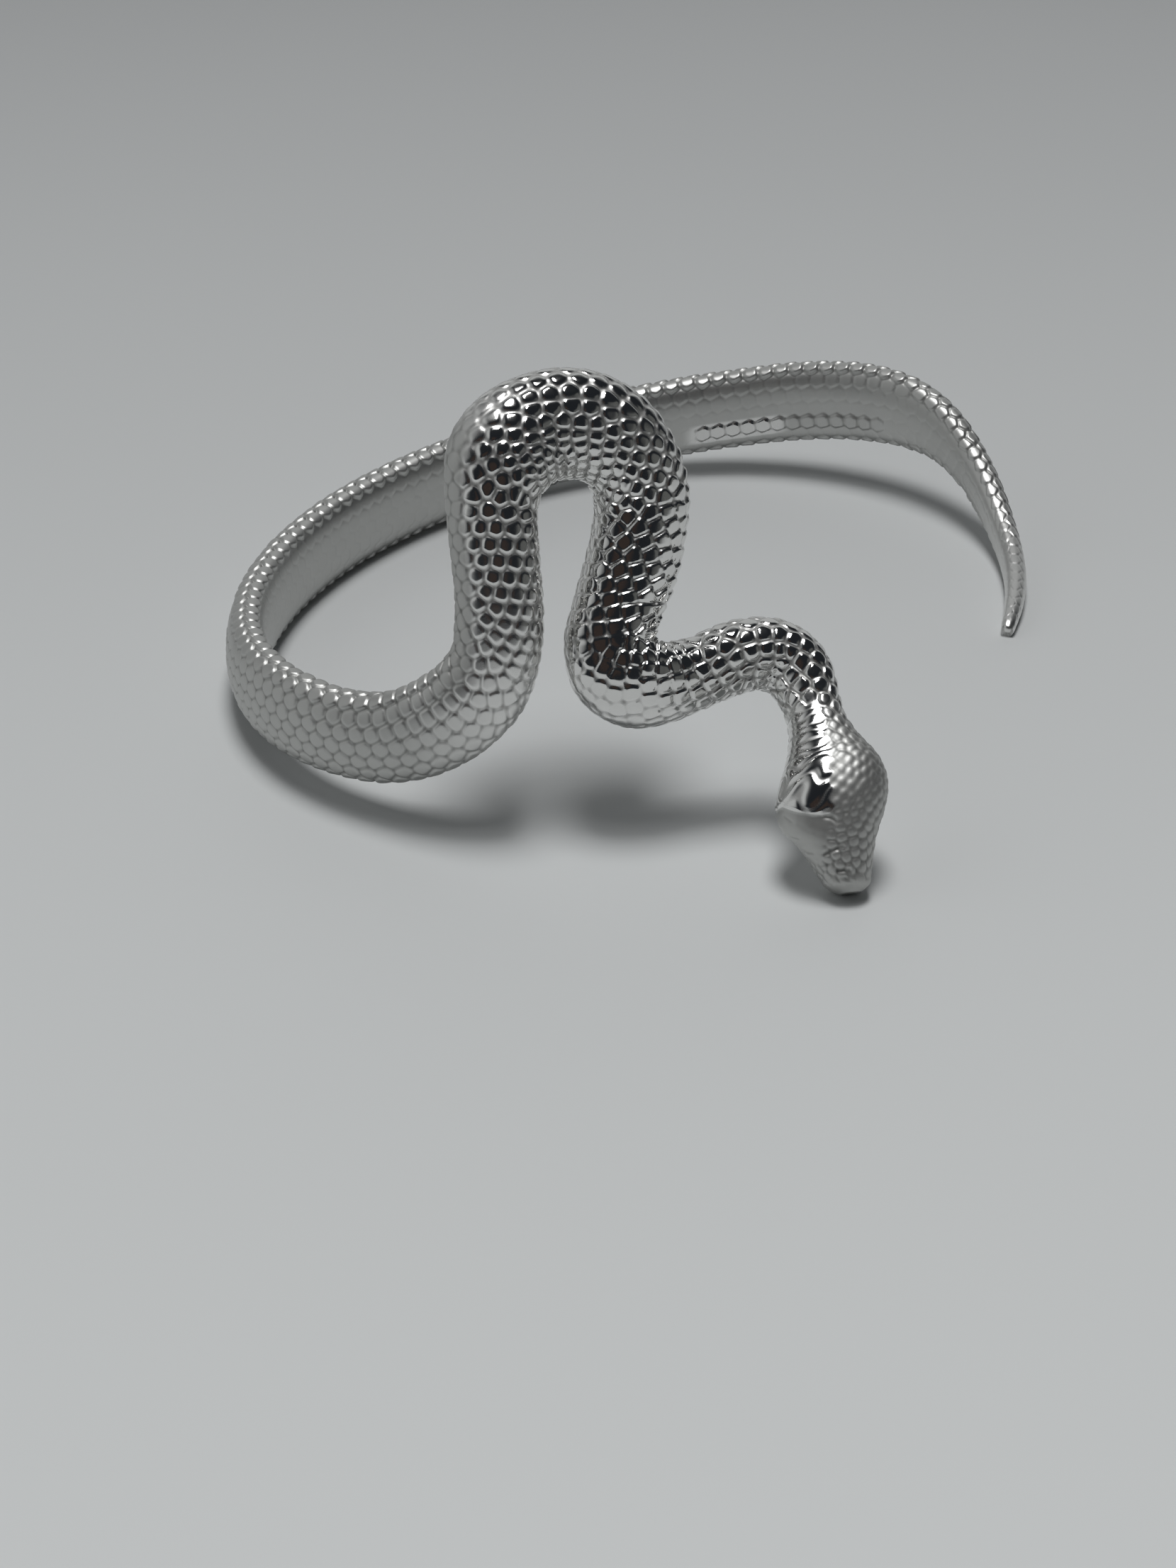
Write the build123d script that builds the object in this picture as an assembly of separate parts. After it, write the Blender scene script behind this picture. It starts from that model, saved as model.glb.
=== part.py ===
from build123d import *
import math
import os

os.makedirs("parts", exist_ok=True)

# Open snake cuff, cast in one piece, standing as it rests on a table: on the nose,
# on the left end of its band and on the tip of the tail. Millimetres, +Z up.
# The origin is the middle of the wrist opening, on the table.
# +X runs along the long side of the opening and -Y points out through the mouth.

# Driving sizes
wrist_long = 61.2
wrist_deep = 45.4
band_wide = 6.6
band_thick = 3.2
tail_turn = 308.6
loop_turn = 225.6
loop_high = 27.0
loop_back = 8.0
loop_thick = 4.5
hump_high = 12.15
head_reach = 13.0
head_turn = 238.0
head_wide = 7.6
head_thick = 5.2
scale_long = 1.42
scale_relief = 0.34
scale_columns = 16

# Shares that shape the section: powers that round its outer side, inner side and edges,
# how much of the relief the inner side has, and where along the taper the tail turns smooth
outer_round = 0.95
inner_round = 0.72
edge_round = 0.90
inner_relief = 0.60
smooth_tail = 0.45
relief_ramp = 1.6
smooth_nose = 3

# Share of the loop's height over which it leans
loop_leaning = 0.59

# The oval that the middle of the band follows
long_half = (wrist_long + band_thick) / 2
deep_half = (wrist_deep + band_thick) / 2

# Tail and band. way is the share of the way round the oval from the tip of the tail to the foot
# of the loop, rise and wide are shares of band_wide, and thick is a share of band_thick.
BAND = [
    # way, rise, wide, thick
    (0.000, 0.085, 0.16, 0.28),
    (0.004, 0.105, 0.20, 0.38),
    (0.015, 0.130, 0.25, 0.46),
    (0.040, 0.160, 0.32, 0.55),
    (0.065, 0.190, 0.38, 0.62),
    (0.089, 0.240, 0.44, 0.66),
    (0.113, 0.340, 0.50, 0.70),
    (0.139, 0.540, 0.58, 0.75),
    (0.169, 0.800, 0.68, 0.82),
    (0.198, 1.010, 0.80, 0.90),
    (0.223, 1.090, 0.89, 0.96),
    (0.258, 1.080, 0.97, 1.00),
    (0.298, 0.990, 1.00, 1.00),
    (0.354, 0.820, 1.00, 1.00),
    (0.406, 0.700, 1.00, 1.00),
    (0.465, 0.600, 1.00, 1.00),
    (0.535, 0.530, 1.00, 1.00),
    (0.617, 0.503, 1.00, 1.00),
    (0.702, 0.500, 1.00, 1.00),
    (0.769, 0.503, 1.00, 1.00),
    (0.824, 0.525, 1.00, 1.00),
    (0.876, 0.580, 1.00, 1.00),
    (0.921, 0.655, 1.00, 1.00),
    (0.965, 0.730, 0.99, 1.00),
]

# Standing loop, which leans back over the wrist opening, and start of the hump. aside is counted
# in band widths along the oval from the loop's middle, rise is a share of loop_high, back of
# loop_back, wide of band_wide and thick of loop_thick. lean is the direction across the body,
# in degrees from upright towards the left end.
LOOP = [
    # aside, rise, back, wide, thick, lean
    (-2.50, 0.193, 0.000, 0.97, 0.73, 0),
    (-1.98, 0.217, 0.000, 1.00, 0.78, 4),
    (-1.48, 0.271, 0.000, 1.03, 0.85, 15),
    (-1.06, 0.348, 0.019, 1.00, 0.90, 32),
    (-0.79, 0.434, 0.065, 0.95, 0.94, 52),
    (-0.69, 0.531, 0.135, 0.93, 0.97, 71),
    (-0.67, 0.616, 0.213, 0.91, 0.98, 81),
    (-0.69, 0.709, 0.314, 0.90, 0.98, 87),
    (-0.71, 0.789, 0.420, 0.91, 0.98, 90),
    (-0.71, 0.863, 0.540, 0.955, 0.98, 83),
    (-0.62, 0.937, 0.665, 1.10, 1.00, 66),
    (-0.45, 0.974, 0.790, 1.12, 1.02, 46),
    (-0.22, 0.989, 0.915, 1.11, 1.02, 25),
    (0.07, 0.991, 0.990, 1.11, 1.02, 5),
    (0.35, 0.976, 1.000, 1.08, 1.02, -14),
    (0.59, 0.938, 0.950, 1.04, 1.00, -35),
    (0.76, 0.878, 0.862, 0.99, 0.98, -61),
    (0.83, 0.800, 0.750, 0.975, 0.98, -83),
    (0.78, 0.720, 0.625, 0.97, 0.98, -93),
    (0.68, 0.641, 0.488, 0.98, 0.98, -96),
    (0.57, 0.581, 0.369, 0.985, 0.98, -92),
    (0.46, 0.523, 0.244, 0.97, 0.98, -85),
    (0.45, 0.486, 0.169, 0.975, 0.98, -74),
    (0.48, 0.454, 0.100, 0.98, 0.97, -60),
    (0.59, 0.424, 0.038, 0.98, 0.95, -44),
    (0.80, 0.399, 0.005, 0.96, 0.93, -26),
    (1.05, 0.397, 0.000, 0.87, 0.91, -11),
    (1.35, 0.411, 0.000, 0.77, 0.89, 3),
]

# Hump, neck and head, which leave the oval. forth and side are shares of head_reach, forth in
# the head's direction and side to its left; rise is a share of hump_high, wide of head_wide
# and thick of head_thick.
HEAD = [
    # forth, side, rise, wide, thick, lean
    (-0.009, 0.132, 0.967, 0.67, 0.76, 6),
    (-0.018, 0.262, 0.996, 0.66, 0.75, 0),
    (-0.010, 0.372, 0.996, 0.66, 0.72, -12),
    (0.022, 0.455, 0.968, 0.65, 0.68, -26),
    (0.080, 0.512, 0.926, 0.62, 0.64, -40),
    (0.156, 0.543, 0.872, 0.57, 0.62, -55),
    (0.240, 0.557, 0.807, 0.52, 0.64, -70),
    (0.340, 0.569, 0.738, 0.54, 0.70, -80),
    (0.420, 0.584, 0.683, 0.65, 0.78, -84),
    (0.500, 0.596, 0.622, 0.82, 0.88, -83),
    (0.585, 0.592, 0.560, 0.96, 0.96, -82),
    (0.662, 0.580, 0.484, 1.02, 1.00, -81),
    (0.724, 0.578, 0.388, 0.93, 0.96, -81),
    (0.775, 0.590, 0.296, 0.72, 0.90, -84),
    (0.830, 0.602, 0.206, 0.57, 0.80, -88),
    (0.882, 0.614, 0.128, 0.46, 0.66, -90),
    (0.916, 0.625, 0.078, 0.36, 0.50, -90),
    (0.936, 0.630, 0.054, 0.20, 0.28, -90),
]

# Stretches of the body that stand on the table, as shares of its length
FEET = [
    # first, last
    (0.00, 0.07),
    (0.20, 0.55),
    (0.93, 1.00),
]


def oval(t):
    return long_half * math.cos(t), deep_half * math.sin(t)


# Length along the oval, in small steps
STEPS = 1440
ARC = [0.0]
for i in range(STEPS):
    here = oval(2 * math.pi * i / STEPS)
    there = oval(2 * math.pi * (i + 1) / STEPS)
    ARC.append(ARC[-1] + math.dist(here, there))
ROUND = ARC[-1]


def arc_at(turn):
    turns, rest = divmod(turn / 360.0, 1.0)
    k = rest * STEPS
    i = min(int(k), STEPS - 1)
    return turns * ROUND + ARC[i] + (ARC[i + 1] - ARC[i]) * (k - i)


def turn_at(arc):
    turns, rest = divmod(arc, ROUND)
    low, high = 0, STEPS
    while high - low > 1:
        mid = (low + high) // 2
        if ARC[mid] <= rest:
            low = mid
        else:
            high = mid
    return 2 * math.pi * (turns + (low + (rest - ARC[low]) / (ARC[high] - ARC[low])) / STEPS)


def minus(a, b):
    return tuple(p - q for p, q in zip(a[:3], b[:3]))


def unit(v):
    size = math.sqrt(sum(c * c for c in v))
    return tuple(c / size for c in v)


def cross(a, b):
    return (a[1] * b[2] - a[2] * b[1], a[2] * b[0] - a[0] * b[2], a[0] * b[1] - a[1] * b[0])


def dot(a, b):
    return sum(p * q for p, q in zip(a, b))


def on_oval(arc, rise, wide, thick, lean):
    t = turn_at(arc)
    x, y = oval(t)
    ax, ay = -long_half * math.sin(t), deep_half * math.cos(t)
    size = math.hypot(ax, ay)
    a = math.radians(lean)
    return (x, y, rise, -math.sin(a) * ax / size, -math.sin(a) * ay / size, math.cos(a), wide, thick)


def tipped(row, back, share):
    # the section moved back over the wrist opening, with its upright tipped the same way
    t = turn_at(arc_at(loop_turn))
    ix, iy = -deep_half * math.cos(t), -long_half * math.sin(t)
    size = math.hypot(ix, iy)
    ix, iy = ix / size, iy / size
    x, y, rise, wx, wy, wz, wide, thick = row
    tip = math.atan2(loop_back, loop_high * loop_leaning) * min(2 * share, 1.0)
    lying = wz * math.sin(tip)
    return (x + back * ix, y + back * iy, rise, wx + lying * ix, wy + lying * iy,
            wz * math.cos(tip), wide, thick)


def sections():
    # middle point, direction across the body, width and thickness of every section
    rows = []
    middle = arc_at(loop_turn + 360)
    tip = arc_at(tail_turn)
    foot = middle + LOOP[0][0] * band_wide
    for way, rise, wide, thick in BAND:
        arc = tip + way * (foot - tip)
        rows.append(on_oval(arc, rise * band_wide, wide * band_wide, thick * band_thick, 0))
    for aside, rise, back, wide, thick, lean in LOOP:
        arc = middle + aside * band_wide
        row = on_oval(arc, rise * loop_high, wide * band_wide, thick * loop_thick, lean)
        rows.append(tipped(row, back * loop_back, back))
    bx, by = rows[-1][0], rows[-1][1]
    a = math.radians(head_turn)
    fx, fy = math.cos(a), math.sin(a)
    for forth, side, rise, wide, thick, lean in HEAD:
        s = math.radians(lean)
        x = bx + head_reach * (forth * fx - side * fy)
        y = by + head_reach * (forth * fy + side * fx)
        across = (math.sin(s) * fy, -math.sin(s) * fx, math.cos(s))
        rows.append((x, y, rise * hump_high) + across + (wide * head_wide, thick * head_thick))
    return rows


def smooth(rows, parts):
    # a smooth curve through every column of the rows
    knots = [0.0]
    for a, b in zip(rows, rows[1:]):
        knots.append(knots[-1] + max(math.dist(a[:3], b[:3]), 0.3))
    last = len(rows) - 1
    slopes = []
    for i in range(last + 1):
        low, high = max(i - 1, 0), min(i + 1, last)
        before, after = knots[i] - knots[low], knots[high] - knots[i]
        slope = []
        for p, q, r in zip(rows[low], rows[i], rows[high]):
            if before == 0 or after == 0:
                slope.append((r - p) / (before + after))
            else:
                slope.append(((q - p) / before * after + (r - q) / after * before) / (before + after))
        slopes.append(slope)
    fine = []
    for i in range(last):
        gap = knots[i + 1] - knots[i]
        for k in range(parts):
            u = k / parts
            a = 2 * u ** 3 - 3 * u ** 2 + 1
            b = (u ** 3 - 2 * u ** 2 + u) * gap
            d = (u ** 3 - u ** 2) * gap
            row = []
            for p, m, q, w in zip(rows[i], slopes[i], rows[i + 1], slopes[i + 1]):
                row.append(a * p + b * m + (1 - a) * q + d * w)
            fine.append(tuple(row))
    fine.append(tuple(rows[last]))
    return fine


def rings():
    # the rings of points that the faces are hung on, one at every half scale
    fine = smooth(sections(), 24)
    run = [0.0]
    for a, b in zip(fine, fine[1:]):
        run.append(run[-1] + math.dist(a[:3], b[:3]))
    count = round(run[-1] / (scale_long / 2))
    picked = []
    at = 0
    for k in range(count + 1):
        goal = run[-1] * k / count
        while at < len(run) - 2 and run[at + 1] < goal:
            at += 1
        u = (goal - run[at]) / (run[at + 1] - run[at])
        row = tuple(p + (q - p) * u for p, q in zip(fine[at], fine[at + 1]))
        before, after = fine[max(at - 1, 0)], fine[min(at + 2, len(fine) - 1)]
        picked.append((row, unit(minus(after, before))))
    out = []
    for k, (row, along) in enumerate(picked):
        middle, across = row[:3], unit(row[3:6])
        outward = unit(cross(along, across))
        half_w, half_t = row[6] / 2, row[7] / 2
        # the scales fade on the smooth end of the tail and at the tip of the nose
        size = (min(row[6] / band_wide, 1.0) - smooth_tail) / (1 - smooth_tail)
        relief = scale_relief * min(max(size, 0.0) * relief_ramp, 1.0)
        if k >= count - smooth_nose:
            relief = 0.0
        ring = []
        for j in range(scale_columns):
            a = 2 * math.pi * j / scale_columns
            c, s = math.cos(a), math.sin(a)
            lift = relief / 2 if (k + j) % 2 == 0 else -relief / 2
            if c < 0:
                lift *= inner_relief
            o = math.copysign(abs(c) ** (inner_round if c < 0 else outer_round), c) * (half_t + lift)
            w = math.copysign(abs(s) ** edge_round, s) * (half_w + lift)
            ring.append(tuple(m + o * n + w * x for m, n, x in zip(middle, outward, across)))
        out.append(ring)
    return out


def turned(p, axis, angle):
    c, s = math.cos(angle), math.sin(angle)
    k = dot(axis, p) * (1 - c)
    side = cross(axis, p)
    return tuple(c * a + s * b + k * x for a, b, x in zip(p, side, axis))


def seated(body):
    # turn and lower the cuff until the nose, the band and the tip of the tail touch the table
    for again in range(6):
        count = len(body)
        feet = []
        for first, last in FEET:
            stretch = [p for ring in body[int(first * count):int(last * count)] for p in ring]
            feet.append(min(stretch, key=lambda p: p[2]))
        up = unit(cross(minus(feet[1], feet[0]), minus(feet[2], feet[0])))
        if up[2] < 0:
            up = tuple(-c for c in up)
        axis = cross(up, (0.0, 0.0, 1.0))
        size = math.sqrt(dot(axis, axis))
        if size > 1e-9:
            axis = unit(axis)
            body = [[turned(p, axis, math.asin(min(size, 1.0))) for p in ring] for ring in body]
        low = min(p[2] for ring in body for p in ring)
        body = [[(p[0], p[1], p[2] - low) for p in ring] for ring in body]
    return body


def cuff():
    body = seated(rings())
    faces = []

    def face(*corners):
        faces.append(Face(Wire.make_polygon([Vector(*p) for p in corners])))

    n = scale_columns
    for k in range(len(body) - 1):
        a, b = body[k], body[k + 1]
        for j in range(n):
            i = (j + 1) % n
            # the fold runs between the two low corners, so each scale rises to its middle
            if (k + j) % 2 == 0:
                face(a[j], a[i], b[j])
                face(a[i], b[i], b[j])
            else:
                face(a[j], a[i], b[i])
                face(a[j], b[i], b[j])
    for ring, flip in ((body[0], True), (body[-1], False)):
        tip = tuple(sum(p[c] for p in ring) / n for c in range(3))
        for j in range(n):
            i = (j + 1) % n
            if flip:
                face(tip, ring[i], ring[j])
            else:
                face(tip, ring[j], ring[i])
    return Solid(Shell(faces))


part = cuff()
part.label = "snake_cuff"
export_step(part, "parts/snake_cuff.step")
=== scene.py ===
import math

import bpy
import numpy as np
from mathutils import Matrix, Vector


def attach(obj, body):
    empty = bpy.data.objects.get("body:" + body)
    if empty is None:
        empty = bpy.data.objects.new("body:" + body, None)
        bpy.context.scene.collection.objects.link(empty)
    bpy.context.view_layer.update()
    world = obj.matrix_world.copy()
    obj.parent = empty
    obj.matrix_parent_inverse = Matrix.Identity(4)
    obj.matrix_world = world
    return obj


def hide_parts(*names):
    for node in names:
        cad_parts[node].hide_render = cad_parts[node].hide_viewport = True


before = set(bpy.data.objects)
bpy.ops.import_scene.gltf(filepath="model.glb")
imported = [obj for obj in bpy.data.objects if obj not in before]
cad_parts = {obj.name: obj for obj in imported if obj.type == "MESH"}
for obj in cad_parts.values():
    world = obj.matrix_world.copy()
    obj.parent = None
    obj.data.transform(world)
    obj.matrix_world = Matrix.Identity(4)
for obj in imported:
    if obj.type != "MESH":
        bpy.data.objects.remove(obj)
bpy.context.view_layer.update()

# The cuff's own sizes, in millimetres, as the solid has them
MM = 0.001
wrist_long = 61.2
wrist_deep = 45.4
band_wide = 6.6
band_thick = 3.2
tail_turn = 308.6
loop_turn = 225.6
loop_high = 27.0
loop_back = 8.0
loop_leaning = 0.59
loop_thick = 4.5
hump_high = 12.15
head_reach = 13.0
head_turn = 238.0
head_wide = 7.6
head_thick = 5.2
outer_round = 0.95
inner_round = 0.72
edge_round = 0.90
long_half = (wrist_long + band_thick) / 2
deep_half = (wrist_deep + band_thick) / 2

# The skin: how far apart its rings of points lie, the points of a ring, the points of the fine curves
# that it is worked out from, and how far the direction of a ring looks each way, in millimetres
ring_step = 0.085
ring_points = 196
curve_points = 720
ring_reach = 0.1775

# The scales: their height, how far they lean for each millimetre, and how uneven they are
scale_high = 0.19
scale_tilt = 0.07
tilt_uneven = 0.25
wave_high = 0.15
seed = 8
# how deep the creases lie, and how far in from a crease the slope of a scale starts and its top
# begins: where it stands proud, where it lies flush, and how much nearer down the right limb
crease_deep = 0.75
rim_foot = 0.12
rim_top = 0.74
rim_flush = 0.55
rim_narrower = 0.30
# a scale's edge is a soft minimum over its nearest neighbours, sharper the higher edge_soft is
edge_soft = 1.2
neighbours = 8
soften_times = 2
# the scales in a bend: how crowded a place is before they shrink, and the least share of their size
shrink_below = 0.75
smallest = 0.58
# moving the scales until they are even: how often, on one point in how many, and how far each time
settle_times = 9
settle_thin = 3
settle_move = 0.8
# how far along the body a scale can lie from the points that it takes
reach = 2.4
# the arch of the loop has its scales in rows along the body
arch_first = 0.725
arch_last = 0.792
arch_pitch = 1.42
arch_rows_apart = 1.13
# how much the height or the lean changes in a stretch
flush_lower = 0.30
flush_lean_less = 0.60
shingle_higher = 0.25
shingle_lean = 0.10
plain_lower = 0.85
head_lower = 0.40
edge_higher = 0.7
# lengths over which the nose and the tip of the tail turn smooth
smooth_nose = 1.6
smooth_tail = 1.0

# The photograph's camera, as found from the photograph: height of its frame and length of its lens in
# pixels, its place in millimetres and its direction in degrees
photo_high = 2212
lens_px = 4300
camera_place = (-136.9, -150.7, 113.3)
look_down = 32.0
look_turn = 48.93

# The cuff's sections from the tip of the tail to the nose, as shares of the sizes above, with the lean
# in degrees. Way and aside run along the oval.
BAND = [
    # way, rise, wide, thick
    (0.000, 0.085, 0.16, 0.28),
    (0.004, 0.105, 0.20, 0.38),
    (0.015, 0.130, 0.25, 0.46),
    (0.040, 0.160, 0.32, 0.55),
    (0.065, 0.190, 0.38, 0.62),
    (0.089, 0.240, 0.44, 0.66),
    (0.113, 0.340, 0.50, 0.70),
    (0.139, 0.540, 0.58, 0.75),
    (0.169, 0.800, 0.68, 0.82),
    (0.198, 1.010, 0.80, 0.90),
    (0.223, 1.090, 0.89, 0.96),
    (0.258, 1.080, 0.97, 1.00),
    (0.298, 0.990, 1.00, 1.00),
    (0.354, 0.820, 1.00, 1.00),
    (0.406, 0.700, 1.00, 1.00),
    (0.465, 0.600, 1.00, 1.00),
    (0.535, 0.530, 1.00, 1.00),
    (0.617, 0.503, 1.00, 1.00),
    (0.702, 0.500, 1.00, 1.00),
    (0.769, 0.503, 1.00, 1.00),
    (0.824, 0.525, 1.00, 1.00),
    (0.876, 0.580, 1.00, 1.00),
    (0.921, 0.655, 1.00, 1.00),
    (0.965, 0.730, 0.99, 1.00),
]

LOOP = [
    # aside, rise, back, wide, thick, lean
    (-2.50, 0.193, 0.000, 0.97, 0.73, 0),
    (-1.98, 0.217, 0.000, 1.00, 0.78, 4),
    (-1.48, 0.271, 0.000, 1.03, 0.85, 15),
    (-1.06, 0.348, 0.019, 1.00, 0.90, 32),
    (-0.79, 0.434, 0.065, 0.95, 0.94, 52),
    (-0.69, 0.531, 0.135, 0.93, 0.97, 71),
    (-0.67, 0.616, 0.213, 0.91, 0.98, 81),
    (-0.69, 0.709, 0.314, 0.90, 0.98, 87),
    (-0.71, 0.789, 0.420, 0.91, 0.98, 90),
    (-0.71, 0.863, 0.540, 0.955, 0.98, 83),
    (-0.62, 0.937, 0.665, 1.10, 1.00, 66),
    (-0.45, 0.974, 0.790, 1.12, 1.02, 46),
    (-0.22, 0.989, 0.915, 1.11, 1.02, 25),
    (0.07, 0.991, 0.990, 1.11, 1.02, 5),
    (0.35, 0.976, 1.000, 1.08, 1.02, -14),
    (0.59, 0.938, 0.950, 1.04, 1.00, -35),
    (0.76, 0.878, 0.862, 0.99, 0.98, -61),
    (0.83, 0.800, 0.750, 0.975, 0.98, -83),
    (0.78, 0.720, 0.625, 0.97, 0.98, -93),
    (0.68, 0.641, 0.488, 0.98, 0.98, -96),
    (0.57, 0.581, 0.369, 0.985, 0.98, -92),
    (0.46, 0.523, 0.244, 0.97, 0.98, -85),
    (0.45, 0.486, 0.169, 0.975, 0.98, -74),
    (0.48, 0.454, 0.100, 0.98, 0.97, -60),
    (0.59, 0.424, 0.038, 0.98, 0.95, -44),
    (0.80, 0.399, 0.005, 0.96, 0.93, -26),
    (1.05, 0.397, 0.000, 0.87, 0.91, -11),
    (1.35, 0.411, 0.000, 0.77, 0.89, 3),
]

HEAD = [
    # forth, side, rise, wide, thick, lean
    (-0.009, 0.132, 0.967, 0.67, 0.76, 6),
    (-0.018, 0.262, 0.996, 0.66, 0.75, 0),
    (-0.010, 0.372, 0.996, 0.66, 0.72, -12),
    (0.022, 0.455, 0.968, 0.65, 0.68, -26),
    (0.080, 0.512, 0.926, 0.62, 0.64, -40),
    (0.156, 0.543, 0.872, 0.57, 0.62, -55),
    (0.240, 0.557, 0.807, 0.52, 0.64, -70),
    (0.340, 0.569, 0.738, 0.54, 0.70, -80),
    (0.420, 0.584, 0.683, 0.65, 0.78, -84),
    (0.500, 0.596, 0.622, 0.82, 0.88, -83),
    (0.585, 0.592, 0.560, 0.96, 0.96, -82),
    (0.662, 0.580, 0.484, 1.02, 1.00, -81),
    (0.724, 0.578, 0.388, 0.93, 0.96, -81),
    (0.775, 0.590, 0.296, 0.72, 0.90, -84),
    (0.830, 0.602, 0.206, 0.57, 0.80, -88),
    (0.882, 0.614, 0.128, 0.46, 0.66, -90),
    (0.916, 0.625, 0.078, 0.36, 0.50, -90),
    (0.936, 0.630, 0.054, 0.20, 0.28, -90),
]

# Rows of scales: step from row to row and distance between the scales of a row, in millimetres
ROWS = [
    # share of the length, step, apart
    (0.00, 0.55, 1.50),
    (0.14, 0.70, 2.10),
    (0.64, 0.72, 2.15),
    (0.67, 1.12, 1.08),
    (0.71, 1.12, 1.08),
    (0.74, 0.78, 2.40),
    (0.78, 0.78, 2.40),
    (0.80, 1.12, 1.10),
    (0.85, 1.12, 1.10),
    (0.87, 0.75, 1.90),
    (0.93, 0.72, 1.90),
    (0.95, 0.45, 1.10),
    (1.00, 0.45, 1.10),
]

# Stretches of the skin: from and to as shares of the length, and as shares of the way round from the
# outer middle, up to 0.5 each way. The scales lie nearly flush, or overlap like shingles.
FLUSH = [
    # first, last, low, top, how much matter
    (0.64, 0.735, 0.10, 0.38, 0.8),
    (0.83, 0.885, -0.38, -0.04, 0.0),
]
SHINGLED = [
    # first, last, low, top
    (0.785, 0.87, 0.07, 0.36),
]

# a row of raised scales on the band's lower inner edge, the polished part of it, and the upper edge
RAISED_ROW = (0.150, 0.232, -0.46, -0.36)
POLISHED_ROW = (0.195, 0.232, -0.47, -0.37)
UPPER_EDGE = (0.15, 0.66, 0.17, 0.29)
row_polish = 0.95

# How polished the metal is along the body: 0 matt, 1 a mirror
POLISH = [
    # share of the length, polish
    (0.00, 0.60),
    (0.10, 0.40),
    (0.62, 0.38),
    (0.68, 0.80),
    (0.72, 1.00),
    (0.93, 1.00),
    (0.948, 0.26),
    (1.00, 0.18),
]

# The belly plates that show on the neck: where their edge lies round the body and how far towards
# the nose they reach, the smooth cheek past them, and the marks of the head as grooves between two
# places. The lengths are millimetres behind the nose.
BELLY_EDGE = [
    # behind, share round
    (5.6, -0.015),
    (10.3, 0.00),
    (11.7, 0.04),
    (13.0, 0.06),
]
BELLY_END = [
    # share round, behind
    (-0.19, 6.4),
    (-0.14, 6.0),
    (-0.09, 5.7),
    (-0.05, 5.5),
]
CHEEK_EDGE = [
    # behind, share round
    (2.2, -0.13),
    (3.2, -0.08),
    (5.4, -0.02),
]
belly_start = 12.9
belly_far_side = -0.27
belly_step = 0.55
belly_even = 4.6
belly_high = 0.08
belly_deep = 0.60
fade_long = 1.2
cheek_end = 2.2
cheek_smooth = 0.85
ledge_deep = 0.20
ledge_long = 1.3
GROOVES = [
    # behind and share round at both ends, then deep and wide
    # the hook at the end of the ledge and four marks of the lips
    (5.4, -0.045, 5.1, -0.01, 0.12, 0.16),
    (5.9, -0.195, 5.4, -0.16, 0.10, 0.14),
    (4.4, -0.21, 4.2, -0.17, 0.10, 0.14),
    (3.0, -0.205, 2.9, -0.155, 0.10, 0.14),
    (1.9, -0.16, 2.0, -0.10, 0.10, 0.14),
    # the eye crease, the nostril and the edge of the nose plate
    (2.8, -0.10, 3.2, -0.005, 0.16, 0.20),
    (1.5, -0.07, 1.45, 0.00, 0.16, 0.22),
    (0.95, -0.11, 1.0, -0.035, 0.10, 0.16),
    (1.0, -0.035, 0.5, 0.03, 0.10, 0.16),
]

# Stretches of the body that stand on the table, as shares of its length
FEET = [
    # first, last
    (0.00, 0.07),
    (0.20, 0.55),
    (0.93, 1.00),
]
seat_times = 6

# The pieces that the body is cut into
PIECES = [
    # name, first and last share of the length
    ("tail", 0.0, 0.2),
    ("band_back", 0.2, 0.4),
    ("band_front", 0.4, 0.6),
    ("loop", 0.6, 0.8),
    ("neck_and_head", 0.8, 1.0),
]


# The metal: roughness and colours, from the painted shade of the creases to the tops, and what matt metal
# keeps of them
matt_rough = 0.60
mirror_rough = 0.05
CREASE_SHADE = (0.33, 0.328, 0.32)
METAL = (0.77, 0.768, 0.755)
DULL = (0.68, 0.685, 0.68)

# The table: half its side in metres, and its colours with how far away they lie along the view: a painted
# pool of light, brighter towards the front
floor_half = 4.0
table_far = 0.153
table_near = -0.096
TABLE_FAR_SHADED = (0.435, 0.445, 0.450)
TABLE_NEAR_LIT = (0.80, 0.82, 0.82)

# The lights, in metres and watts, and the colours of the room
LIGHTS = [
    # name, place, size, watts
    ("key", (0.05, 0.05, 0.9), 0.32, 3.3),
    ("near", (-0.067, -0.077, 0.9), 0.30, 1.1),
]
BLACK = (0.015, 0.017, 0.020)
BROWN = (0.036, 0.027, 0.024)
DIM = (0.10, 0.103, 0.10)
GREY = (0.45, 0.46, 0.46)

# Directions in the picture
turn = math.radians(look_turn)
down = math.radians(look_down)
ahead = Vector((math.cos(turn) * math.cos(down), math.sin(turn) * math.cos(down), -math.sin(down)))
to_right = Vector((math.sin(turn), -math.cos(turn), 0))
away = Vector((math.cos(turn), math.sin(turn), 0))


def unit(v):
    """Vectors of length 1."""
    return v / np.linalg.norm(v, axis=-1, keepdims=True)


def ease(x):
    """0 below 0, 1 above 1 and a soft step between."""
    x = np.clip(x, 0, 1)
    return x * x * (3 - 2 * x)


def between(x, low, high, soft):
    """1 between low and high, falling softly to 0 outside."""
    return ease((x - low) / soft + 0.5) * ease((high - x) / soft + 0.5)


def inside(along, side, stretch, soft_along, soft_side):
    """1 in a stretch of the skin, falling softly to 0 outside."""
    first, last, low, top = stretch
    return between(along, first, last, soft_along) * between(side, low, top, soft_side)


def run_length(steps):
    """Length so far at every point of a line, from the steps between its points."""
    return np.concatenate([[0.0], np.cumsum(steps)])


def path_length(points):
    """Length so far at every point of a line."""
    return run_length(np.linalg.norm(np.diff(points, axis=0), axis=1))


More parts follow.
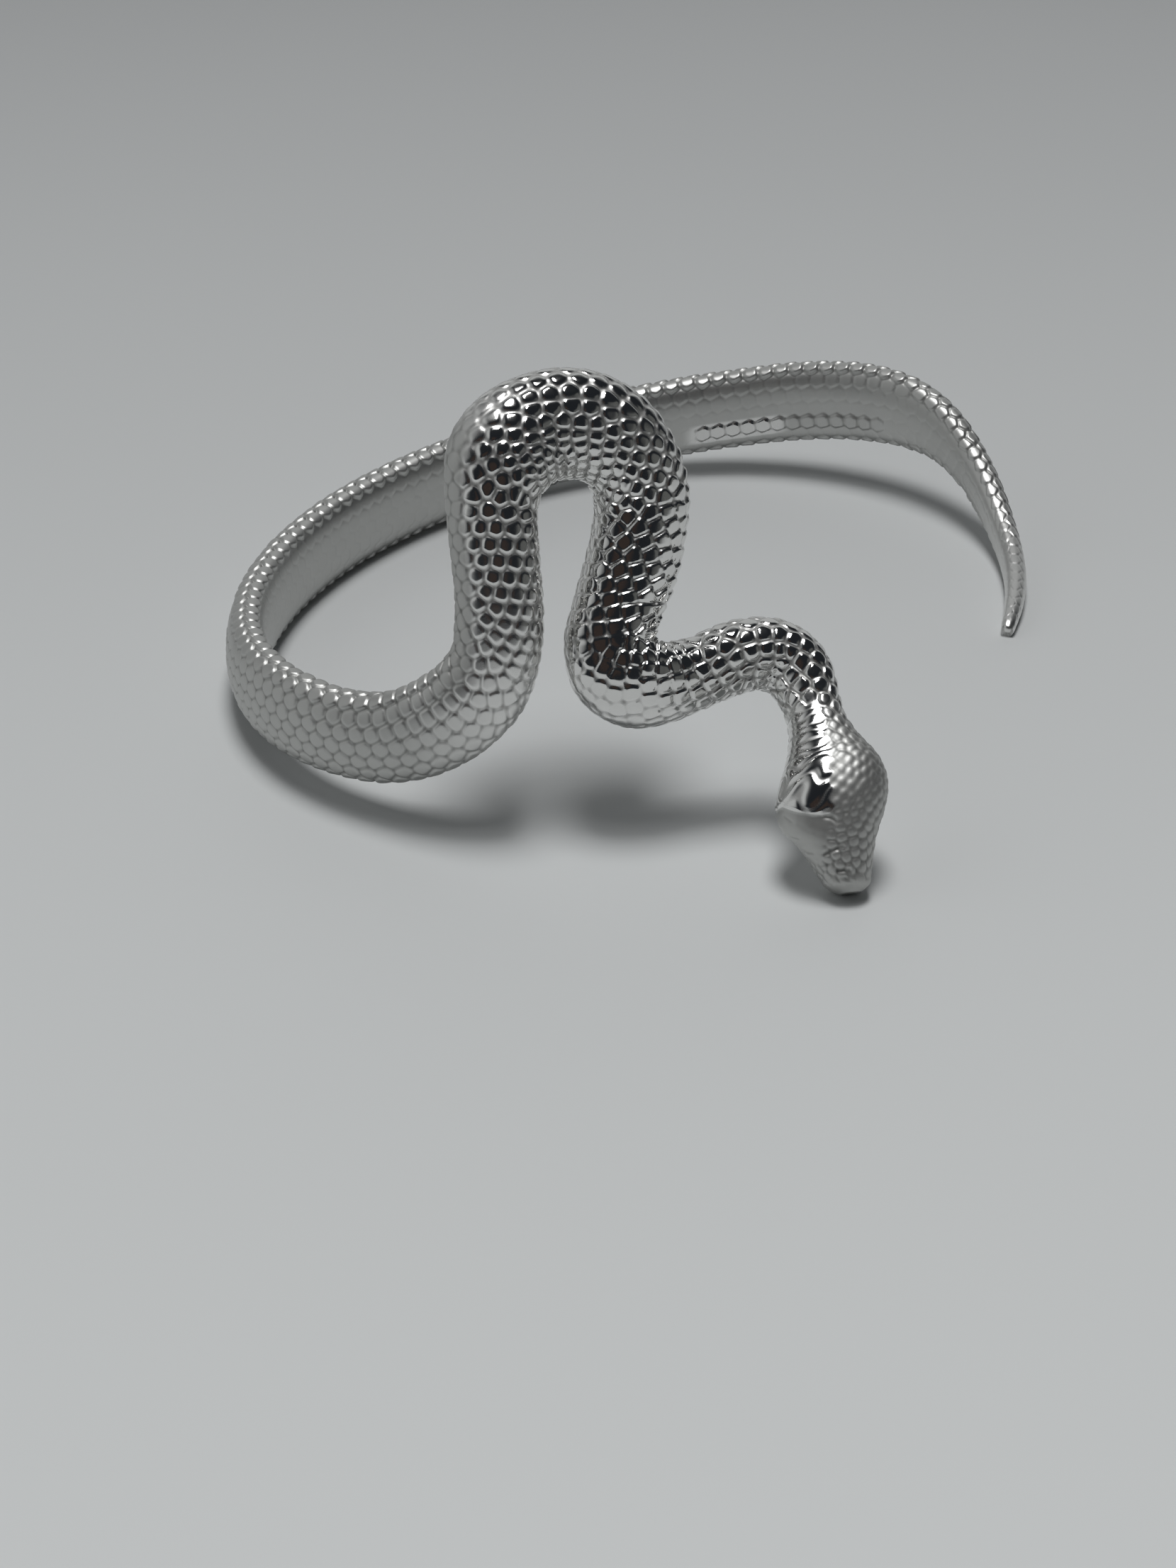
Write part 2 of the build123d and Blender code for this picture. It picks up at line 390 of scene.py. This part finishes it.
def oval(turn):
    """Place on the middle line of the band, on the table."""
    return np.stack([long_half * np.cos(turn), deep_half * np.sin(turn)], axis=-1)


oval_turns = np.linspace(0, 2 * math.pi, 2 * curve_points + 1)
oval_run = path_length(oval(oval_turns))
oval_round = oval_run[-1]


def arc_at(degrees):
    """Length along the oval to an angle, in millimetres."""
    turns, rest = divmod(degrees / 360, 1.0)
    return turns * oval_round + np.interp(rest * 2 * math.pi, oval_turns, oval_run)


def on_oval(arc, rise, wide, thick, lean):
    """A section at a length along the oval: middle, direction across, width and thickness."""
    turn = np.interp(arc % oval_round, oval_run, oval_turns)
    x, y = oval(turn)
    ahead = np.array([-long_half * math.sin(turn), deep_half * math.cos(turn)])
    ahead = ahead / np.linalg.norm(ahead)
    tip = math.radians(lean)
    across = [-math.sin(tip) * ahead[0], -math.sin(tip) * ahead[1], math.cos(tip)]
    return [x, y, rise] + across + [wide, thick]


def tipped(row, back, share):
    """The section moved back over the wrist opening, with its upright tipped the same way."""
    turn = np.interp(arc_at(loop_turn), oval_run, oval_turns)
    inward = unit(np.array([-deep_half * math.cos(turn), -long_half * math.sin(turn)]))
    x, y, rise, wx, wy, wz, wide, thick = row
    tip = math.atan2(loop_back, loop_high * loop_leaning) * min(2 * share, 1.0)
    lying = wz * math.sin(tip)
    return [x + back * inward[0], y + back * inward[1], rise,
            wx + lying * inward[0], wy + lying * inward[1], wz * math.cos(tip), wide, thick]


def sections():
    """Middle point, direction across the body, width and thickness of every section."""
    rows = []
    middle = arc_at(loop_turn + 360)
    tip = arc_at(tail_turn)
    foot = middle + LOOP[0][0] * band_wide
    for way, rise, wide, thick in BAND:
        arc = tip + way * (foot - tip)
        rows.append(on_oval(arc, rise * band_wide, wide * band_wide, thick * band_thick, 0))
    for aside, rise, back, wide, thick, lean in LOOP:
        arc = middle + aside * band_wide
        row = on_oval(arc, rise * loop_high, wide * band_wide, thick * loop_thick, lean)
        rows.append(tipped(row, back * loop_back, back))
    start = rows[-1][:2]
    turn = math.radians(head_turn)
    fx, fy = math.cos(turn), math.sin(turn)
    for forth, side, rise, wide, thick, lean in HEAD:
        tip = math.radians(lean)
        x = start[0] + head_reach * (forth * fx - side * fy)
        y = start[1] + head_reach * (forth * fy + side * fx)
        across = [math.sin(tip) * fy, -math.sin(tip) * fx, math.cos(tip)]
        rows.append([x, y, rise * hump_high] + across + [wide * head_wide, thick * head_thick])
    return np.array(rows)


def smooth(rows, parts=24):
    """A smooth curve through every column of the rows."""
    gaps = np.maximum(np.linalg.norm(np.diff(rows[:, :3], axis=0), axis=1), 0.3)
    rates = np.diff(rows, axis=0) / gaps[:, None]
    slopes = np.empty_like(rows)
    slopes[0] = rates[0]
    slopes[-1] = rates[-1]
    before, after = gaps[:-1, None], gaps[1:, None]
    slopes[1:-1] = (rates[:-1] * after + rates[1:] * before) / (before + after)
    u = (np.arange(parts) / parts)[None, :, None]
    a = 2 * u ** 3 - 3 * u ** 2 + 1
    b = u ** 3 - 2 * u ** 2 + u
    d = u ** 3 - u ** 2
    gap = gaps[:, None, None]
    fine = a * rows[:-1, None] + b * gap * slopes[:-1, None]
    fine = fine + (1 - a) * rows[1:, None] + d * gap * slopes[1:, None]
    return np.concatenate([fine.reshape(-1, rows.shape[1]), rows[-1:]])


def skin():
    """The smooth body: rings of points evenly spaced along it and round it, how far along the body each
    ring lies and how long it is."""
    fine = smooth(sections())
    run = path_length(fine[:, :3])
    rings = int(run[-1] / ring_step) + 1
    goal = np.linspace(0, run[-1], rings)
    rows = np.stack([np.interp(goal, run, fine[:, c]) for c in range(fine.shape[1])], axis=1)
    middle = rows[:, :3]
    across = unit(rows[:, 3:6])
    ends = []
    for shift in (-ring_reach, ring_reach):
        at = np.clip(goal + shift, 0, run[-1])
        ends.append(np.stack([np.interp(at, run, fine[:, c]) for c in range(3)], axis=1))
    along = unit(ends[1] - ends[0])
    outward = unit(np.cross(along, across))
    angle = np.linspace(0, 2 * math.pi, curve_points + 1)
    c, s = np.cos(angle), np.sin(angle)
    power = np.where(c < 0, inner_round, outer_round)
    shape_o = np.sign(c) * np.abs(c) ** power
    shape_w = np.sign(s) * np.abs(s) ** edge_round
    points = np.empty((rings, ring_points, 3))
    around = np.empty(rings)
    for k in range(rings):
        o = shape_o * rows[k, 7] / 2
        w = shape_w * rows[k, 6] / 2
        length = run_length(np.hypot(np.diff(o), np.diff(w)))
        around[k] = length[-1]
        even = np.linspace(0, length[-1], ring_points + 1)[:-1]
        o, w = np.interp(even, length, o), np.interp(even, length, w)
        points[k] = middle[k] + o[:, None] * outward[k] + w[:, None] * across[k]
    return points, goal, around


def skin_normals(points):
    """Directions straight out of the body."""
    ahead = np.gradient(points, axis=0)
    around = np.roll(points, -1, axis=1) - np.roll(points, 1, axis=1)
    return unit(np.cross(ahead, around))


def stretched(points):
    """How far apart the rings lie at each point, against their distance along the middle."""
    return np.linalg.norm(np.gradient(points, axis=0), axis=2) / ring_step


def smaller(stretch, widest):
    """Share of their full area that the scales have where a bend crowds them."""
    return np.minimum(stretch / widest / shrink_below, 1.0)


def plant_lengthwise(points, run, first, last):
    """Middles of the scales in rows along the body, closer together on the inner side of the bend."""
    a, b = int(first * len(run)), int(last * len(run))
    stretch = stretched(points)
    middle = (a + b) // 2
    ratio = stretch[middle] / np.percentile(stretch[middle], 90)
    size = np.interp(ratio, [0.25, shrink_below], [smallest, 1.0])
    girth = np.linalg.norm(np.roll(points[middle], -1, axis=0) - points[middle], axis=1)
    weight = run_length(girth / (arch_rows_apart * size))
    count = 2 * round(weight[-1] / 2)
    spots = []
    for i in range(count):
        turn = np.interp(i / count * weight[-1], weight, np.arange(ring_points + 1) / ring_points)
        j = int(turn * ring_points) % ring_points
        steps = run_length(stretch[a:b, j] * ring_step / (arch_pitch * size[j]))
        whole = max(2, round(steps[-1]))
        wanted = (np.arange(whole) + 0.25 + 0.5 * (i % 2)) / whole * steps[-1]
        for at in np.interp(wanted, steps, run[a:b + 1]):
            spots.append((at, turn % 1.0))
    return spots


def plant(points, run):
    """Middles of the scales, in staggered rows: run in millimetres and share of the way round.

    Where the body bends, the scales of the inner side are smaller than those of the outer side."""
    table = np.array(ROWS)
    stretch = stretched(points)
    girth = np.linalg.norm(np.roll(points, -1, axis=1) - points, axis=2)
    at = 0.4
    spots = plant_lengthwise(points, run, arch_first, arch_last)
    odd = 0
    while at < run[-1] - 0.3:
        if arch_first * run[-1] < at < arch_last * run[-1]:
            at = arch_last * run[-1] + 0.3
        k = min(int(at / ring_step), len(run) - 1)
        step, apart = (np.interp(at / run[-1], table[:, 0], table[:, c]) for c in (1, 2))
        widest = np.percentile(stretch[k], 90)
        crowded = stretch[k] / widest / smaller(stretch[k], widest)
        weight = run_length(girth[k] * crowded)
        count = max(3, round(weight[-1] / apart))
        wanted = (np.arange(count) + 0.5 * odd) / count * weight[-1]
        for share in np.interp(wanted, weight, np.arange(ring_points + 1) / ring_points):
            spots.append((at, share % 1.0))
        odd = 1 - odd
        at += step / widest
    return np.array(spots)


def on_skin(points, run, spots):
    """Places on the rings of points at the given run and share of the way round."""
    k = np.interp(spots[:, 0], run, np.arange(len(run)))
    j = spots[:, 1] % 1.0 * ring_points
    low_k, low_j = k.astype(int).clip(0, len(run) - 2), j.astype(int)
    u, v = (k - low_k)[:, None], (j - low_j)[:, None]
    next_j = (low_j + 1) % ring_points
    low_j = low_j % ring_points
    near = points[low_k, low_j] * (1 - v) + points[low_k, next_j] * v
    far = points[low_k + 1, low_j] * (1 - v) + points[low_k + 1, next_j] * v
    return near * (1 - u) + far * u


def settle(points, run, spots):
    """Moves each scale's middle to the middle of the skin that lies nearest to it, so that they even out.

    The skin counts for more where the scales are to be small."""
    thin = settle_thin
    table = np.array(ROWS)
    share = run / run[-1]
    area = np.interp(share, table[:, 0], table[:, 1]) * np.interp(share, table[:, 0], table[:, 2])
    stretch = stretched(points)
    widest = np.percentile(stretch, 90, axis=1, keepdims=True)
    weight = stretch / (smaller(stretch, widest) * area[:, None]) ** 2
    for _ in range(settle_times):
        places = on_skin(points, run, spots)
        total = np.zeros((len(spots), 3))
        for k in range(0, len(run), thin):
            near = np.flatnonzero(np.abs(spots[:, 0] - run[k]) < reach)
            if not len(near):
                continue
            ring = points[k, ::thin]
            which = near[((ring[:, None] - places[near][None]) ** 2).sum(axis=2).argmin(axis=1)]
            turns = np.arange(0, ring_points, thin) / ring_points
            away_round = (turns - spots[which, 1] + 0.5) % 1.0 - 0.5
            counts = weight[k, ::thin]
            np.add.at(total, which, np.stack([counts * run[k], counts * away_round, counts], axis=1))
        held = np.maximum(total[:, 2], 1e-6)
        moved = np.where(total[:, 2] > 0, total[:, 0] / held - spots[:, 0], 0.0)
        at = spots[:, 0] + settle_move * moved
        turned_to = spots[:, 1] + settle_move * total[:, 1] / held
        spots = np.stack([at, turned_to], axis=1)
    return spots


def characters(spots, length):
    """Height, lean and rim of every scale, by its place along the body and round it."""
    along = spots[:, 0] / length
    side = (spots[:, 1] + 0.5) % 1.0 - 0.5
    high = np.full(len(spots), scale_high)
    lean = np.full(len(spots), scale_tilt)
    flush = np.zeros(len(spots))
    sharp = np.zeros(len(spots))
    for first, last, low, top, _ in FLUSH:
        flush = np.maximum(flush, inside(along, side, (first, last, low, top), 0.015, 0.06))
    for stretch in SHINGLED:
        sharp = np.maximum(sharp, inside(along, side, stretch, 0.015, 0.06))
    high = high * (1 - flush_lower * flush) * (1 + shingle_higher * sharp)
    lean = lean * (1 - flush_lean_less * flush) + shingle_lean * sharp
    # the inner face of the band is nearly smooth but for a raised row, and so is the last of the tail
    inner = ease((np.abs(side) - 0.30) / 0.06) * between(along, -1.0, 0.62, 0.03)
    inner = inner * (1 - inside(along, side, RAISED_ROW, 0.01, 0.03))
    tail = 1 - ease((along - 0.03) / 0.09)
    plain = np.maximum(inner, tail)
    high = high * (1 - plain_lower * plain)
    lean = lean * (1 - plain_lower * plain)
    # the head's scales are low
    high = high * (1 - head_lower * ease((along - 0.935) / 0.02))
    # the edge scales of the band stand out along its upper edge
    high = high * (1 + edge_higher * inside(along, side, UPPER_EDGE, 0.04, 0.04))
    band = 1 - ease((along - 0.64) / 0.05)
    rim = rim_top + (rim_flush - rim_top) * np.maximum(band, flush)
    # narrow creases down the right limb and round the foot of the loop
    proud = rim > rim_flush + 0.05
    rim = rim - rim_narrower * between(along, 0.795, 0.885, 0.012) * proud
    return high, lean, rim


def round_shares():
    """Share of the way round of every point of a ring, from the outer middle, up to 0.5 each way."""
    return (np.arange(ring_points)[None] / ring_points + 0.5) % 1.0 - 0.5


def polish(run):
    """How polished every point is: less on the band and where the scales lie flush."""
    table = np.array(POLISH)
    along = run[:, None] / run[-1]
    side = round_shares()
    level = np.interp(along, table[:, 0], table[:, 1]) * np.ones_like(side)
    for first, last, low, top, matter in FLUSH:
        level = level * (1 - matter * inside(along, side, (first, last, low, top), 0.03, 0.08))
    level = level + (row_polish - level) * inside(along, side, POLISHED_ROW, 0.012, 0.03)
    return np.maximum(level, belly(run)[0])


def belly(run):
    """Where the belly plates show, from 0 to 1, where the ledge below them does, and how far each point
    lies past their end."""
    behind = run[-1] - run[:, None]
    side = round_shares()
    edge = np.interp(behind, *np.array(BELLY_EDGE).T) + 0.008 * np.sin(2 * math.pi * behind / 0.8)
    past = np.interp(side, *np.array(BELLY_END).T) - behind
    across = ease((edge - side) / 0.02 + 0.5) * ease((side - belly_far_side) / 0.04 + 0.5)
    start = ease((belly_start - behind) / fade_long + 0.5)
    return across * start * ease(0.5 - past / 0.25), across * start * (past > 0), past


def head_marks(run, around, height, dome):
    """Lays the belly plates, the ledge at their end and the grooves of the head over the scales, with
    painted shade between the plates and in the grooves.
    """
    shown, below, past = belly(run)
    side = round_shares()
    behind = run[-1] - run[:, None]
    at = belly_start - behind[:, 0]
    # the plates grow longer and less even towards the head
    longer = np.maximum(at - belly_even, 0)
    count = (at - longer / 2) / belly_step
    low = ease((at - belly_even + 1) / 2.0)[:, None]
    uneven = (0.10 + 0.34 * low) * np.sin(2 * math.pi * (side * 7 + at[:, None] / 2.9))
    uneven = uneven + 0.16 * np.sin(2 * math.pi * (side * 4 - at[:, None] / 1.7))
    phase = (count[:, None] + uneven + 0.15 * np.sin(2 * math.pi * side * 3)) % 1.0
    plate = ease(np.minimum(phase, 1 - phase) / 0.30)
    tall = belly_high * (0.65 + 0.70 * low)
    height = height * (1 - shown) + shown * (tall * plate - belly_deep * scale_high)
    # painted shade between the belly plates
    dome = dome * (1 - shown) + shown * (0.30 + 0.70 * plate)
    # smooth below the ledge, which is deepest beside the plates
    cheek = np.interp(behind, *np.array(CHEEK_EDGE).T)
    bare = below * ease((behind - cheek_end) / fade_long + 0.5) * ease((cheek - side) / 0.03 + 0.5)
    ledge = ledge_deep * below * np.exp(-np.maximum(past, 0) / ledge_long)
    height = height * (1 - cheek_smooth * bare) - ledge
    dome = dome * (1 - bare) + bare
    for first, from_turn, last, to_turn, deep, wide in GROOVES:
        girth = around[np.searchsorted(run, run[-1] - first)]
        x, y = first - behind, (side - from_turn) * girth
        dx, dy = first - last, (to_turn - from_turn) * girth
        t = np.clip((x * dx + y * dy) / (dx * dx + dy * dy), 0, 1)
        away_from = np.hypot(x - t * dx, y - t * dy)
        cut = ease(1 - away_from / wide)
        height = height - deep * cut
        # painted shade darkens the grooves
        dome = dome * (1 - 0.8 * cut)
    return height, dome


def scales(points, run, around):
    """Height of the scales in millimetres, and 0 in a crease to 1 on top of a scale, at each point."""
    spots = settle(points, run, plant(points, run))
    places = on_skin(points, run, spots)
    high, lean, rim = characters(spots, run[-1])
    shake = np.random.default_rng(seed).normal(size=(len(spots), 3))
    share = np.arange(ring_points) / ring_points
    # every scale's nearest neighbours: half the way to each, and the direction of it
    length = (places ** 2).sum(axis=1)
    apart = length[:, None] + length[None] - 2 * places @ places.T
    beside = np.argsort(apart, axis=1)[:, 1:neighbours + 1]
    toward = places[beside] - places[:, None]
    half = np.linalg.norm(toward, axis=2) / 2
    toward = toward / (2 * half[..., None])
    centre = (half ** -edge_soft).sum(axis=1) ** (-1 / edge_soft)
    height = np.empty(points.shape[:2])
    dome = np.empty(points.shape[:2])
    for k in range(len(run)):
        near = np.flatnonzero(np.abs(spots[:, 0] - run[k]) < reach)
        first = near[((points[k][:, None] - places[near][None]) ** 2).sum(axis=2).argmin(axis=1)]
        offset = points[k] - places[first]
        edge = np.maximum(half[first] - (offset[:, None] * toward[first]).sum(axis=2), 1e-3)
        edge = (edge ** -edge_soft).sum(axis=1) ** (-1 / edge_soft) / centre[first]
        dome[k] = ease((edge - rim_foot) / (rim[first] - rim_foot))
        along = run[k] - spots[first, 0]
        aside = ((share - spots[first, 1] + 0.5) % 1.0 - 0.5) * around[k]
        slope = lean[first] * (1 + tilt_uneven * shake[first, 0])
        wave = wave_high * high[first] * aside * shake[first, 1]
        height[k] = high[first] * dome[k] - crease_deep * scale_high - along * slope + wave
        # low scales have paler creases, with less painted shade in them
        dome[k] = 1 - (1 - dome[k]) * np.clip(high[first] / (0.6 * scale_high), 0, 1)
    height, dome = head_marks(run, around, height, dome)
    # the nose and the tip of the tail end smooth
    ends = ease((run[-1] - run) / smooth_nose)[:, None] * ease(run / smooth_tail)[:, None]
    return height * ends, dome * ends + 1 - ends


def turned(points, axis, angle):
    """The points turned about an axis through the origin."""
    c, s = math.cos(angle), math.sin(angle)
    along_axis = np.outer(points @ axis, axis).reshape(points.shape)
    return points * c + np.cross(axis, points) * s + along_axis * (1 - c)


def seated(points):
    """Turns and lowers the cuff until the nose, the band and the tip of the tail touch the table."""
    for _ in range(seat_times):
        count = len(points)
        feet = []
        for first, last in FEET:
            stretch = points[int(first * count):int(last * count)].reshape(-1, 3)
            feet.append(stretch[stretch[:, 2].argmin()])
        up = unit(np.cross(feet[1] - feet[0], feet[2] - feet[0]))
        if up[2] < 0:
            up = -up
        axis = np.cross(up, (0.0, 0.0, 1.0))
        size = np.linalg.norm(axis)
        if size > 1e-9:
            points = turned(points, axis / size, math.asin(min(size, 1.0)))
        points = points - [0, 0, points[..., 2].min()]
    return points


def softened(field):
    """The field averaged a little with its neighbours along the body and round it."""
    for _ in range(soften_times):
        field = (np.roll(field, 1, axis=1) + 2 * field + np.roll(field, -1, axis=1)) / 4
        padded = np.pad(field, ((1, 1), (0, 0)), mode="edge")
        field = (padded[:-2] + 2 * field + padded[2:]) / 4
    return field


def build_body():
    """The rings of the scaled body in millimetres, its relief from 0 to 1, which also sets the painted
    shade of the creases, and its polish from 0 to 1.
    """
    points, run, around = skin()
    normals = skin_normals(points)
    height, tops = scales(points, run, around)
    body = seated(points + normals * softened(height)[..., None])
    return body, softened(tops), polish(run)


def add_piece(name, points, normals, fields, material):
    """A closed stretch of the body from its rings, with a fan of triangles at each end."""
    rings, n, _ = points.shape
    verts = points.reshape(-1, 3)
    norm = normals.reshape(-1, 3)
    values = {key: field.reshape(-1) for key, field in fields.items()}
    k, j = np.meshgrid(np.arange(rings - 1), np.arange(n), indexing="ij")
    i = (j + 1) % n
    quads = np.stack([k * n + j, (k + 1) * n + j, (k + 1) * n + i, k * n + i], axis=-1).reshape(-1, 4)
    faces = quads.tolist()
    for ring, flip in ((0, True), (rings - 1, False)):
        centre = len(verts)
        middle = points[ring].mean(axis=0, keepdims=True)
        verts = np.concatenate([verts, middle])
        norm = np.concatenate([norm, [normals[ring].mean(axis=0)]])
        values = {key: np.append(v, v[ring * n:(ring + 1) * n].mean()) for key, v in values.items()}
        for a in range(n):
            b = (a + 1) % n
            pair = (ring * n + a, ring * n + b) if flip else (ring * n + b, ring * n + a)
            faces.append([centre, pair[0], pair[1]])
    mesh = bpy.data.meshes.new(name)
    mesh.from_pydata((verts * MM).tolist(), [], faces)
    mesh.update()
    for key, value in values.items():
        layer = mesh.attributes.new(key, "FLOAT", "POINT")
        layer.data.foreach_set("value", value.astype(np.float32))
    mesh.polygons.foreach_set("use_smooth", [True] * len(mesh.polygons))
    mesh.normals_split_custom_set_from_vertices(norm.tolist())
    mesh.materials.append(material)
    piece = bpy.data.objects.new(name, mesh)
    bpy.context.scene.collection.objects.link(piece)
    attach(piece, "root")
    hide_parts("snake_cuff")
    return piece


def add_ramp(nodes, stops):
    """A colour ramp with two stops, each a place and a colour."""
    ramp = nodes.new("ShaderNodeValToRGB")
    for point, (place, colour) in zip(ramp.color_ramp.elements, stops):
        point.position = place
        point.color = colour + (1,)
    return ramp


def add_range(nodes, from_min, from_max, to_min, to_max):
    """A node that turns one range of values into another."""
    scale = nodes.new("ShaderNodeMapRange")
    scale.inputs["From Min"].default_value = from_min
    scale.inputs["From Max"].default_value = from_max
    scale.inputs["To Min"].default_value = to_min
    scale.inputs["To Max"].default_value = to_max
    return scale


def add_noise(nodes, links, size, detail, share, level):
    """The level with a share of fine noise on it."""
    place = nodes.new("ShaderNodeTexCoord")
    noise = nodes.new("ShaderNodeTexNoise")
    noise.inputs["Scale"].default_value = size
    noise.inputs["Detail"].default_value = detail
    links.new(place.outputs["Object"], noise.inputs["Vector"])
    total = nodes.new("ShaderNodeMath")
    total.operation = "MULTIPLY_ADD"
    total.inputs[1].default_value = share
    links.new(noise.outputs["Fac"], total.inputs[0])
    links.new(level, total.inputs[2])
    return total.outputs["Value"]


def add_mix(nodes, links, kind, first, second):
    """Two colours put together in full, by multiplying them or by taking the lighter."""
    mix = nodes.new("ShaderNodeMix")
    mix.data_type = "RGBA"
    mix.blend_type = kind
    mix.inputs["Factor"].default_value = 1.0
    links.new(first, mix.inputs[6])
    links.new(second, mix.inputs[7])
    return mix.outputs[2]


def add_field(nodes, name):
    """A value that the points of the mesh hold."""
    field = nodes.new("ShaderNodeAttribute")
    field.attribute_name = name
    return field.outputs["Fac"]


def silver():
    """Plated metal: polished on the tops of the scales, matt in the creases and on the band, darker on the
    band, and with painted shade darkening the creases.
    """
    material = bpy.data.materials.new("silver")
    material.use_nodes = True
    nodes, links = material.node_tree.nodes, material.node_tree.links
    shader = nodes["Principled BSDF"]
    shader.inputs["Metallic"].default_value = 1.0
    relief = add_field(nodes, "relief")
    level = add_field(nodes, "polish")
    # how polished each point is gives its roughness
    tops = add_range(nodes, 0.25, 0.80, 0.0, 1.0)
    links.new(relief, tops.inputs["Value"])
    both = nodes.new("ShaderNodeMath")
    both.operation = "MULTIPLY"
    links.new(level, both.inputs[0])
    links.new(tops.outputs["Result"], both.inputs[1])
    rough = add_range(nodes, 0.0, 1.0, matt_rough, mirror_rough)
    links.new(both.outputs["Value"], rough.inputs["Value"])
    uneven = add_noise(nodes, links, 900, 4, 0.10, rough.outputs["Result"])
    links.new(uneven, shader.inputs["Roughness"])
    # the creases get painted shade, and what is matt is darker
    ramp = add_ramp(nodes, [(0.10, CREASE_SHADE), (0.75, METAL)])
    links.new(relief, ramp.inputs["Fac"])
    dull = add_ramp(nodes, [(0.38, DULL), (0.60, (1.0, 1.0, 1.0))])
    links.new(level, dull.inputs["Fac"])
    colour = add_mix(nodes, links, "MULTIPLY", ramp.outputs["Color"], dull.outputs["Color"])
    links.new(colour, shader.inputs["Base Color"])
    return material


def paper():
    """The pale table, with painted light that makes it paler towards the front of the picture."""
    material = bpy.data.materials.new("paper")
    material.use_nodes = True
    nodes, links = material.node_tree.nodes, material.node_tree.links
    shader = nodes["Principled BSDF"]
    shader.inputs["Roughness"].default_value = 0.6
    shader.inputs["Specular IOR Level"].default_value = 0.3
    place = nodes.new("ShaderNodeTexCoord")
    depth = nodes.new("ShaderNodeVectorMath")
    depth.operation = "DOT_PRODUCT"
    depth.inputs[1].default_value = away
    links.new(place.outputs["Object"], depth.inputs[0])
    # painted light: the table is brighter towards the front
    level = add_range(nodes, table_far, table_near, 0.0, 0.92)
    links.new(depth.outputs["Value"], level.inputs["Value"])
    cloud = add_noise(nodes, links, 9, 2, 0.08, level.outputs["Result"])
    ramp = add_ramp(nodes, [(0.0, TABLE_FAR_SHADED), (1.0, TABLE_NEAR_LIT)])
    links.new(cloud, ramp.inputs["Fac"])
    links.new(ramp.outputs["Color"], shader.inputs["Base Color"])
    return material


def add_floor():
    """The table that the cuff lies on."""
    half = floor_half
    corners = [(-half, -half, 0), (half, -half, 0), (half, half, 0), (-half, half, 0)]
    mesh = bpy.data.meshes.new("floor")
    mesh.from_pydata(corners, [], [(0, 1, 2, 3)])
    mesh.materials.append(paper())
    floor = bpy.data.objects.new("floor", mesh)
    bpy.context.scene.collection.objects.link(floor)


def add_light(name, place, size, watts):
    """A round lamp that faces the cuff."""
    data = bpy.data.lights.new(name, "AREA")
    data.shape = "DISK"
    data.size = size
    data.energy = watts
    lamp = bpy.data.objects.new(name, data)
    lamp.location = place
    lamp.rotation_euler = (-Vector(place)).to_track_quat("-Z", "Y").to_euler()
    bpy.context.scene.collection.objects.link(lamp)


def add_camera():
    """The photograph's camera."""
    data = bpy.data.cameras.new("camera")
    data.sensor_width = 36
    data.lens = lens_px / photo_high * data.sensor_width
    data.clip_start = 0.01
    data.clip_end = 20
    camera = bpy.data.objects.new("camera", data)
    camera.location = Vector(camera_place) * MM
    camera.rotation_euler = ahead.to_track_quat("-Z", "Y").to_euler()
    bpy.context.scene.collection.objects.link(camera)
    bpy.context.scene.camera = camera


def add_world():
    """A dim room: black on the camera's side, overhead and on the right, pale on the far side and left."""
    world = bpy.data.worlds.new("studio")
    bpy.context.scene.world = world
    world.use_nodes = True
    nodes, links = world.node_tree.nodes, world.node_tree.links
    place = nodes.new("ShaderNodeTexCoord")

    def facing(direction, stops):
        """Colour by how nearly the room is seen in a direction, each stop a cosine and a colour."""
        aimed = nodes.new("ShaderNodeVectorMath")
        aimed.operation = "DOT_PRODUCT"
        aimed.inputs[1].default_value = direction.normalized()
        links.new(place.outputs["Generated"], aimed.inputs[0])
        lifted = nodes.new("ShaderNodeMath")
        lifted.operation = "MULTIPLY_ADD"
        lifted.inputs[1].default_value = 0.5
        lifted.inputs[2].default_value = 0.5
        links.new(aimed.outputs["Value"], lifted.inputs[0])
        ramp = add_ramp(nodes, [(0.5 + 0.5 * cosine, colour) for cosine, colour in stops])
        ramp.color_ramp.interpolation = "EASE"
        links.new(lifted.outputs["Value"], ramp.inputs["Fac"])
        return ramp.outputs["Color"]

    up = Vector((0, 0, 1))
    room = facing(away, [(0.45, BLACK), (0.85, GREY)])
    left = facing(-0.9 * to_right + 0.35 * up, [(0.66, BLACK), (0.95, GREY)])
    right = facing(0.95 * to_right - 0.35 * away + 0.10 * up, [(0.84, BLACK), (0.97, DIM)])
    person = facing(-away - 0.10 * to_right + 0.45 * up, [(0.93, BLACK), (0.98, BROWN)])
    far_and_right = add_mix(nodes, links, "LIGHTEN", room, right)
    left_and_near = add_mix(nodes, links, "LIGHTEN", left, person)
    colour = add_mix(nodes, links, "LIGHTEN", far_and_right, left_and_near)
    links.new(colour, nodes["Background"].inputs["Color"])
    nodes["Background"].inputs["Strength"].default_value = 1.0


body, relief, level = build_body()
normals = skin_normals(body)
metal = silver()
for name, first, last in PIECES:
    a, b = int(first * (len(body) - 1)), int(last * (len(body) - 1))
    fields = {"relief": relief[a:b + 1], "polish": level[a:b + 1]}
    add_piece(name, body[a:b + 1], normals[a:b + 1], fields, metal)

add_floor()
for name, place, size, watts in LIGHTS:
    add_light(name, place, size, watts)
add_world()
add_camera()
bpy.context.scene.view_settings.view_transform = "Standard"
